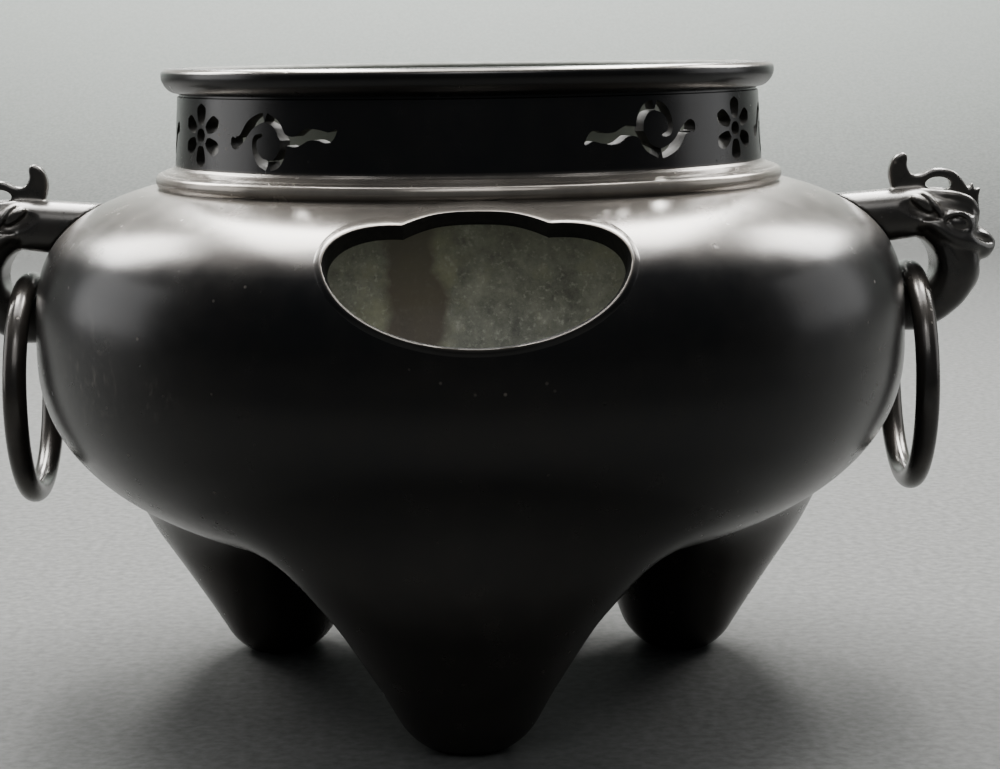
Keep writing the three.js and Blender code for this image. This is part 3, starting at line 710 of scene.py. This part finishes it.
# Skin less lining less window less openwork, then the rub, wear and painted highlight lines: bell curves
# of the distance from each arris
def makeVessel():
    piece = newPiece("vessel_casting", *lathedSkin(),
                     [vesselPatina, vesselInside, neckWalls, windowWalls])
    cutBy(piece, *lining(), vesselInside)
    cutBy(piece, *prismCutter(windowOutline(), windowPlace), windowWalls)
    first, second = openworkCutters()
    cutBy(piece, *joined(first), neckWalls)
    cutBy(piece, *joined(second), neckWalls)
    mesh = piece.data
    points = np.empty(len(mesh.vertices) * 3, dtype=np.float32)
    mesh.vertices.foreach_get("co", points)
    points = points.reshape(-1, 3)
    print("vessel cut:", len(mesh.polygons), "faces, slots", [m.name for m in mesh.materials])
    radius, z = np.hypot(points[:, 0], points[:, 1]), points[:, 2]
    # Lighter at the rim's arris, the bead's crest and the fillet: wear, and painted highlight lines
    arris = np.hypot(radius - vessel["rimRadius"] + 0.0009, z - rimTop + 0.0008)
    rim = np.exp(-(arris / 0.0006) ** 2)
    bead = np.exp(-((z - beadTop + 0.003) / 0.0011) ** 2)
    bead = bead * (radius > vessel["mouldingRadius"] - 0.0012)
    fillet = np.exp(-((z - beadTop) / 0.0007) ** 2) * (radius > neckRoot + 0.001)
    setPolishAndHighlight(piece, np.clip(0.9 * rim + 0.5 * bead + 0.45 * fillet, 0, 1))
    rows, polishAndHighlight = windowBorder()
    count, sides = rows.shape[:2]
    slots = np.repeat([1, 1] + [0] * (count - 4) + [1, 1], sides)
    border = newPiece("border", rows, gridFaces(count, sides, closeRows=True), [vesselPatina, windowWalls],
                      slots, sharpAngle=60)
    setPolishAndHighlight(border, 0.75 * polishAndHighlight)
    with bpy.context.temp_override(active_object=piece, selected_editable_objects=[piece, border]):
        bpy.ops.object.join()
    piece.data.set_sharp_from_angle(angle=radians(38))
    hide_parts("vessel")
    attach(piece, "brazier")
    return piece


makeVessel()
print("vessel made")


# Dragon-head lugs: a carved solid worked out on a sample grid, in millimetres from the ring hole's centre
lug = {
    "holeX": 0.1545, "holeZ": 0.1463, "holeRadius": 8.3, "step": 0.42, "seam": 0.00015,
    "crestThickness": 5.6, "neckLength": 36, "neckOuter": 25.8, "neckRise": 4.6, "neckFall": 2.6,
    "outerBoxiness": 2.6, "depthScale": 0.85,
    "boxLow": (-29.0, -17.0, -27.5), "boxHigh": (30.5, 17.0, 39.0),
}
# Cross-sections round the hole: angle, inner radius share, outer radius, half width, boxiness at the hole
headSections = np.array([
    [90, 1, 25.9, 11.2, 3], [76, 0.94, 25.4, 11.9, 3.4], [66, 0.9, 26.0, 12.6, 4],
    [55, 0.85, 27.3, 13.2, 4.5], [46, 0.82, 27.9, 13.4, 5], [38, 0.8, 26.8, 13.6, 5],
    [30, 0.8, 24.4, 13.7, 5], [20, 0.8, 22.6, 13.6, 5], [4, 0.8, 22.2, 13.4, 5],
    [-14, 0.84, 22.5, 13, 4.6], [-34, 0.9, 22.2, 12.2, 4], [-54, 0.95, 22.2, 11.2, 3.2],
    [-74, 0.97, 23.1, 10.2, 2.6], [-92, 0.96, 24.4, 9.6, 2.4],
])


# Depth of an ellipsoid turned in the head's middle plane
def ball(p, centre, radii, tilt=0.0):
    x, y, z = p[0] - centre[0], p[1] - centre[1], p[2] - centre[2]
    c, s = np.cos(tilt), np.sin(tilt)
    u, w = (x * c + z * s) / radii[0], (z * c - x * s) / radii[2]
    v = y / radii[1]
    k0 = np.sqrt(u * u + v * v + w * w) + 1e-6
    k1 = np.sqrt((u / radii[0]) ** 2 + (v / radii[1]) ** 2 + (w / radii[2]) ** 2) + 1e-6
    return k0 * (k0 - 1) / k1


# Depth of a bar of changing radius along a smooth path: stations are x, y, z, radius
def strand(p, stations):
    path = smoothCurve(stations, 4 * len(stations))
    best = np.full(p[0].shape, 99.0, dtype=np.float32)
    for a, b in zip(path[:-1], path[1:]):
        d = b[:3] - a[:3]
        along = np.clip(sum((p[k] - a[k]) * d[k] for k in range(3)) / (d @ d + 1e-9), 0, 1)
        gap = np.sqrt(sum((p[k] - a[k] - along * d[k]) ** 2 for k in range(3)))
        best = np.minimum(best, gap - (a[3] + along * (b[3] - a[3])))
    return best


# Depth of a flat outline in the middle plane, thickened to both sides with rounded edges
def flatShape(p, outline, half, soft):
    x, z = p[0][:, 0, :], p[2][:, 0, :]
    best = np.full(x.shape, 99.0)
    odd = np.zeros(x.shape, bool)
    for (ax, az), (bx, bz) in zip(outline, np.roll(outline, -1, 0)):
        dx, dz = bx - ax, bz - az
        t = np.clip(((x - ax) * dx + (z - az) * dz) / (dx * dx + dz * dz + 1e-9), 0, 1)
        best = np.minimum(best, np.hypot(x - ax - t * dx, z - az - t * dz))
        crosses = ((az > z) != (bz > z)) & (x < (bx - ax) * (z - az) / (bz - az + 1e-12) + ax)
        odd ^= crosses
    flat = np.where(odd, -best, best)[:, None, :]
    side = np.abs(p[1]) - half
    a, b = flat + soft, side + soft
    return np.minimum(np.maximum(a, b), 0) + np.hypot(np.maximum(a, 0), np.maximum(b, 0)) - soft


# Superellipse sections swept round the ring hole, and straight on into the neck above and the beard
def headBody(p):
    x, y, z = p
    angle = np.degrees(np.arctan2(z, np.maximum(x, 0)))
    order = headSections[::-1]
    inner, outer, half, boxy = (np.interp(angle, order[:, 0], order[:, k]) for k in (1, 2, 3, 4))
    inner = inner * lug["holeRadius"]
    reach = np.where(x > 0, np.hypot(x, z), np.abs(z))
    neck = (x <= 0) & (z > 0)
    back = np.clip(-x / lug["neckLength"], 0, 1)
    inner = np.where(neck, lug["holeRadius"] - lug["neckRise"] * back, inner)
    outer = np.where(neck, lug["neckOuter"] - lug["neckFall"] * back, outer)
    middle, size = (inner + outer) / 2, (outer - inner) / 2
    u, v = np.abs(reach - middle) / size, np.abs(y) / half
    power = np.where(reach < middle, boxy, lug["outerBoxiness"])
    return ((u ** power + v ** power) ** (1 / power) - 1) * np.minimum(size, half) * lug["depthScale"]


crestOutline = np.vstack([
    smoothCurve([[-6.6, 22.5], [-8.6, 27.5], [-9, 31.8], [-7.5, 36.0], [-4.4, 37.7], [-2.7, 36.4],
                 [-2.8, 33.2], [-1.2, 30.4], [2, 30.2], [5.8, 31.9], [9.4, 32.1], [13, 31.3],
                 [15.8, 29], [18.4, 25.3]], 48),
    smoothCurve([[18.9, 25.6], [20.0, 27.2], [20.5, 25.4], [21.5, 24.9], [22.9, 25.3], [22.3, 22.6],
                 [21.9, 19.4], [20.5, 16]], 18),
    [[12, 17], [0, 18]],
])


# Features of the face in the order in which they are blended: added or cut, on both sides or in the
# middle, blend width, and then a ball's centre, radii and tilt or a strand's stations
headFeatures = [
    # Snout, lips and chin
    ("add", "middle", 2.4, ball, (21.9, 0, 7.9), (6.3, 8.4, 4.0), -0.45),
    ("add", "middle", 2.0, ball, (21.6, 0, 3.6), (5.6, 8.0, 3.4), -0.15),
    ("add", "middle", 3.0, ball, (16.6, 0, -4.5), (5.4, 8.4, 5.4), 0.3),
    ("cut", "middle", 1.2, strand, [
        [26.6, -7, -1.6, 0.5], [23.6, -4, -1.8, 0.9], [23.2, 0, -1.8, 1.0], [23.6, 4, -1.8, 0.9],
        [26.6, 7, -1.6, 0.5]]),
    ("cut", "both", 0.9, strand, [
        [19.0, 11.4, 9.8, 0.6], [21.0, 9.6, 8.8, 1.2], [23.4, 7.4, 7.8, 1.4], [25.8, 5.6, 7.0, 1.0]]),
    # Eyes in their sockets, under a rolled lid
    ("cut", "both", 1.6, ball, (12.9, 15.4, 14.1), (5.4, 3.6, 3.9), -0.1),
    ("add", "both", 0.3, ball, (12.9, 11.4, 13.7), (3.7, 2.2, 2.6), -0.12),
    ("add", "both", 0.8, strand, [
        [8.2, 12.9, 14.9, 0.4], [10.0, 13.1, 16.7, 0.8], [13.0, 13.1, 17.3, 1.0],
        [15.6, 12.8, 16.3, 0.95], [17.2, 12.0, 13.8, 0.8], [17.0, 11.9, 11.6, 0.4]]),
    ("add", "both", 0.7, strand, [
        [9.4, 13.0, 13.6, 0.3], [11.6, 13.0, 11.5, 0.5], [14.4, 12.9, 10.6, 0.5],
        [16.8, 12.2, 11.2, 0.3]]),
    # Cheek roll from the jaw's hinge to the lip
    ("add", "both", 1.8, strand, [
        [1.0, 10.6, 12.4, 0.6], [3.0, 11.8, 13.5, 1.4], [5.4, 12.6, 12.8, 1.8], [8.6, 12.9, 10.6, 1.7],
        [12.7, 12.7, 8.5, 1.7], [17.0, 11.8, 7.5, 1.7], [20.6, 9.6, 5.9, 1.5], [23.6, 6.8, 4.5, 1.3],
        [26.0, 4.2, 4.6, 1.1], [26.9, 2.4, 6.2, 0.8]]),
    ("add", "both", 0.6, strand, [
        [8.8, 13.2, 6.7, 0.25], [10.8, 13.3, 3.8, 0.4], [12.6, 13.0, 0.7, 0.2]]),
    # Ear: a leaf in a long hollow, with a ridge in front of it
    ("cut", "both", 1.2, ball, (-0.5, 12.9, 19.2), (7.2, 3.5, 3.5), -0.36),
    ("add", "both", 0.35, ball, (1.2, 9.9, 20.3), (4.9, 2.5, 1.9), -0.6),
    ("cut", "both", 0.35, strand, [
        [-1.6, 11.9, 22.0, 0.2], [1.2, 12.5, 20.4, 0.55], [4.0, 12.0, 18.3, 0.2]]),
    ("add", "both", 0.9, strand, [
        [1.4, 9.2, 23.9, 0.6], [3.2, 10.6, 22.4, 1.0], [5.0, 11.8, 19.9, 1.1], [6.9, 12.6, 16.9, 0.7]]),
    # Forehead roll and the groove under it
    ("add", "both", 1.4, strand, [
        [2.0, 5.5, 24.4, 1.0], [7.3, 7.6, 23.6, 1.5], [11.7, 8.2, 23.0, 1.7], [15.3, 8.0, 21.9, 1.8],
        [18.2, 7.2, 20.3, 1.8], [20.3, 5.6, 17.6, 1.5], [21.0, 3.6, 14.4, 1.1]]),
    ("cut", "both", 1.6, strand, [
        [7.8, 12.4, 20.4, 0.6], [11.2, 12.5, 19.8, 1.2], [14.7, 11.8, 18.9, 1.2],
        [17.8, 10.4, 17.2, 0.7]]),
]


# The whole head: smooth minimum with each feature added, smooth maximum with minus each one cut
def carvedHead(p):
    x, y, z = p
    sides = {"middle": p, "both": (x, np.abs(y), z)}
    d = headBody(p)
    for way, side, blend, shape, *numbers in headFeatures:
        feature = shape(sides[side], *numbers)
        d = softMin(d, feature, blend) if way == "add" else softMax(d, -feature, blend)
    # Crest with its pierced eye and the tuft over the brow
    crest = flatShape(p, crestOutline, lug["crestThickness"] / 2, 1.3)
    crest = softMax(crest, -(np.hypot((x - 8.0) / 4.5, (z - 26.6) / 2.5) - 1) * 2.6, 0.6)
    crest = softMin(crest, strand(p, [[18.2, 0, 23.5, 2.2], [20.0, 0, 21.2, 2.3], [20.6, 0, 18.2, 2.2]]),
                    0.8)
    return softMin(d, crest, 0.8)


# One point in each crossed cell, the mean of its edge crossings, and one quad for each crossed edge
def levelSurface(depth, low, step):
    cells = tuple(n - 1 for n in depth.shape)
    total = np.zeros(cells + (3,))
    count = np.zeros(cells)
    inside = depth < 0
    edges = []
    for axis in range(3):
        lower = [slice(None)] * 3
        upper = [slice(None)] * 3
        lower[axis], upper[axis] = slice(None, -1), slice(1, None)
        crossed = inside[tuple(lower)] != inside[tuple(upper)]
        at = np.argwhere(crossed)
        near = depth[tuple(at.T)]
        ahead = at.copy()
        ahead[:, axis] += 1
        far = depth[tuple(ahead.T)]
        place = at.astype(float)
        place[:, axis] += near / (near - far)
        others = [k for k in range(3) if k != axis]
        around = []
        for shift in ((0, 0), (1, 0), (1, 1), (0, 1)):
            cell = at.copy()
            cell[:, others[0]] -= shift[0]
            cell[:, others[1]] -= shift[1]
            np.add.at(total, tuple(cell.T), place)
            np.add.at(count, tuple(cell.T), 1)
            around.append(cell)
        edges.append((around, inside[tuple(at.T)], axis))
    used = count > 0
    number = np.full(cells, -1)
    number[used] = np.arange(used.sum())
    points = (total[used] / count[used][:, None]) * step + low
    quads = []
    for around, starts, axis in edges:
        quad = np.stack([number[tuple(cell.T)] for cell in around], -1)
        turn = starts if axis != 1 else ~starts
        quads.append(np.where(turn[:, None], quad[:, ::-1], quad))
    return points, np.vstack(quads)


# Surface where the depth is nought, less the bowl; polish is how far it stands out once smoothed
def makeHeads():
    low, high, step = np.array(lug["boxLow"]), np.array(lug["boxHigh"]), lug["step"]
    axes = [np.arange(low[k], high[k], step, dtype=np.float32) for k in range(3)]
    p = np.meshgrid(*axes, indexing="ij")
    depth = carvedHead(p)
    world = [lug["holeX"] + p[0] / 1000, p[1] / 1000, lug["holeZ"] + p[2] / 1000]
    clear = 1000 * (vesselDepth(*world) - lug["seam"])
    depth = np.maximum(depth, -clear)
    points, quads = levelSurface(depth, low, step)
    for _ in range(2):
        points = relaxed(points, quads, 0.5)
    smooth = points.copy()
    for _ in range(14):
        smooth = relaxed(smooth, quads, 0.6)
    normals = cornerNormals(points, quads)
    proud = np.sum((points - smooth) * normals, 1)
    polishAndHighlight = np.clip(proud / 0.35, 0, 1) * 0.8
    for name, way in (("right", 1), ("left", -1)):
        place = (points * [way, 1, 1]) / 1000 + [way * lug["holeX"], 0, lug["holeZ"]]
        faces = quads if way > 0 else quads[:, ::-1]
        piece = newPiece(f"dragon_head_{name}", place, faces, [lugPatina], sharpAngle=70)
        setPolishAndHighlight(piece, polishAndHighlight)
        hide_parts(f"dragon_lug_{name}")
        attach(piece, "brazier")


# Moves each point part of the way to the mean of its neighbours along the quads' edges
def relaxed(points, quads, share):
    total, count = np.zeros_like(points), np.zeros(len(points))
    for k in range(4):
        a, b = quads[:, k], quads[:, (k + 1) % 4]
        np.add.at(total, a, points[b])
        np.add.at(count, a, 1)
        np.add.at(total, b, points[a])
        np.add.at(count, b, 1)
    return points * (1 - share) + share * total / np.maximum(count, 1)[:, None]


# Sum of the cross products of the diagonals of the quads round each point, made one long
def cornerNormals(points, quads):
    a, b, c, d = (points[quads[:, k]] for k in range(4))
    face = np.cross(c - a, d - b)
    normals = np.zeros_like(points)
    for k in range(4):
        np.add.at(normals, quads[:, k], face)
    return normals / (np.linalg.norm(normals, axis=1)[:, None] + 1e-9)


makeHeads()
print("dragon heads made")


# Rings: plain round bars bent into loose circles
ring = {"radius": 0.0363, "bar": 0.00405, "planeX": 0.15317, "middleZ": 0.10645,
        "waver": 0.012, "waves": 5, "turns": 168, "barSides": 28}


# Torus: a small circle carried round a large one in the YZ plane; a sine makes its radius waver slightly
def makeRings():
    turn = np.linspace(0, 2 * np.pi, ring["turns"], endpoint=False)[:, None]
    bar = np.linspace(0, 2 * np.pi, ring["barSides"], endpoint=False)[None]
    thick = ring["bar"] * (1 - ring["waver"] * (1 + np.sin(ring["waves"] * turn + 0.7)))
    reach = ring["radius"] + thick * np.cos(bar)
    rows = np.stack([ring["planeX"] + thick * np.sin(bar), reach * np.cos(turn),
                     ring["middleZ"] + reach * np.sin(turn)], -1)
    faces = gridFaces(ring["turns"], ring["barSides"], closeRows=True)
    for name, way in (("right", 1), ("left", -1)):
        piece = newPiece(f"ring_{name}_bar", rows * [way, 1, 1], faces[:, ::-1] if way > 0 else faces,
                         [ringPatina], sharpAngle=80)
        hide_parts(f"ring_{name}")
        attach(piece, f"ring_handle_{name}")


makeRings()
print("rings made")


# Camera at the photograph's viewing angle, and a plain studio
camera = {"focalPixels": 2330, "imageWidth": 1000, "distance": 0.809, "height": 0.224,
          "pitch": 0.1464, "roll": -0.0134, "pan": 0.0120}
studio = {"floorShadeColor": (0.038, 0.0395, 0.0385, 1), "wallColor": (0.27, 0.295, 0.28, 1),
          "sweepStart": 1.6, "sweepRadius": 0.9, "bendRows": 24}


# Lens from focal pixels over image width, turned by pan, pitch and roll about the eye
def makeCamera():
    data = bpy.data.cameras.new("camera")
    data.sensor_width = 36
    data.lens = camera["focalPixels"] * data.sensor_width / camera["imageWidth"]
    data.clip_start, data.clip_end = 0.05, 50
    seen = bpy.data.objects.new("camera", data)
    bpy.context.scene.collection.objects.link(seen)
    pitch, roll, pan = camera["pitch"], camera["roll"], camera["pan"]
    ahead = Vector((np.sin(pan) * np.cos(pitch), np.cos(pan) * np.cos(pitch), -np.sin(pitch)))
    right = Vector((np.cos(pan), -np.sin(pan), 0))
    up = right.cross(ahead)
    rightTurned = right * np.cos(roll) + up * np.sin(roll)
    upTurned = up * np.cos(roll) - right * np.sin(roll)
    matrix = Matrix((rightTurned, upTurned, -ahead)).transposed().to_4x4()
    matrix.translation = Vector((0, -camera["distance"], camera["height"]))
    seen.matrix_world = matrix
    bpy.context.scene.camera = seen


# A sheet that lies flat under the brazier and sweeps up behind it: distance and height from one angle
def makeStage():
    material, tree, shader, where = newMaterial("paperSweep")
    grain = noise(tree, where, 260.0, 3.0)
    height = node(tree, "ShaderNodeSeparateXYZ", {"Vector": where}).outputs["Z"]
    # The paper is darker on the floor than up the sweep: painted shade on the floor
    color = mixColor(tree, spread(tree, height, 0.0, 0.4), studio["floorShadeColor"], studio["wallColor"])
    color = mixColor(tree, spread(tree, grain, 0.3, 0.7, 0.0, 0.05), color, (0.7, 0.7, 0.7, 1))
    finishMaterial(tree, shader, color, spread(tree, grain, 0.3, 0.7, 0.66, 0.74), grain, 0.03, 0.0)
    shader.inputs["Specular IOR Level"].default_value = 0.1
    bend = np.linspace(0, np.pi / 2, studio["bendRows"])
    reach, radius = studio["sweepStart"], studio["sweepRadius"]
    y = np.concatenate([[-3.0], reach + radius * np.sin(bend), [reach + radius]])
    z = np.concatenate([[0.0], radius * (1 - np.cos(bend)), [3.2]])
    x = np.linspace(-4, 4, 3)
    rows = np.stack(np.broadcast_arrays(x[None], y[:, None], z[:, None]), -1)
    a = np.arange(len(y) - 1)[:, None] * 3 + np.arange(2)[None]
    faces = np.stack([a, a + 1, a + 4, a + 3], -1).reshape(-1, 4)
    sweep = newPiece("paper_sweep", rows, faces, [material])


# A flat light at a place, facing the point that it aims at
def areaLight(name, place, aim, size, power, color=(1, 1, 1)):
    data = bpy.data.lights.new(name, "AREA")
    data.shape = "RECTANGLE"
    data.size, data.size_y = size
    data.energy = power
    data.color = color
    lamp = bpy.data.objects.new(name, data)
    lamp.location = place
    lamp.rotation_euler = (Vector(aim) - Vector(place)).to_track_quat("-Z", "Y").to_euler()
    bpy.context.scene.collection.objects.link(lamp)


# Two strips that run back overhead, a soft box and a dim card on each side, and small lights from above,
# into the mouth and from the front
def makeLights():
    warm = (1, 0.985, 0.955)
    for side in (-1, 1):
        areaLight("strip", (side * 0.40, 0.90, 1.2), (side * 0.40, 0.90, 0), (0.36, 1.5), 95, warm)
        areaLight("soft_side", (side * 0.86, 0.60, 0.86), (0, 0, 0.12), (0.42, 0.42), 21, warm)
    areaLight("soft_top", (0, 0.55, 1.4), (0, 0.0, 0.15), (0.9, 0.4), 10)
    areaLight("soft_over", (0, 0.05, 1.5), (0, 0.0, 0.15), (1.5, 0.45), 22)
    areaLight("front_fill", (0.1, -1.5, 1.5), (0, -0.4, 0), (1.4, 0.9), 11)
    areaLight("card_left", (-1.4, 0.3, 0.42), (0, 0, 0.17), (0.8, 0.7), 4.2)
    areaLight("card_right", (1.4, 0.3, 0.42), (0, 0, 0.17), (0.8, 0.7), 2.6)
    areaLight("mouth_fill", (0, -0.85, 1.3), (0, 0, 0.18), (0.3, 0.22), 2)
    areaLight("back_wash", (0, 1.2, 2.4), (0, 2.4, 1.2), (2.6, 0.8), 34)
    world = bpy.data.worlds.new("studio")
    world.use_nodes = True
    world.node_tree.nodes["Background"].inputs["Color"].default_value = (0.80, 0.86, 0.92, 1)
    world.node_tree.nodes["Background"].inputs["Strength"].default_value = 0.13
    bpy.context.scene.world = world


makeCamera()
makeStage()
makeLights()
bpy.context.view_layer.update()
print("studio ready")
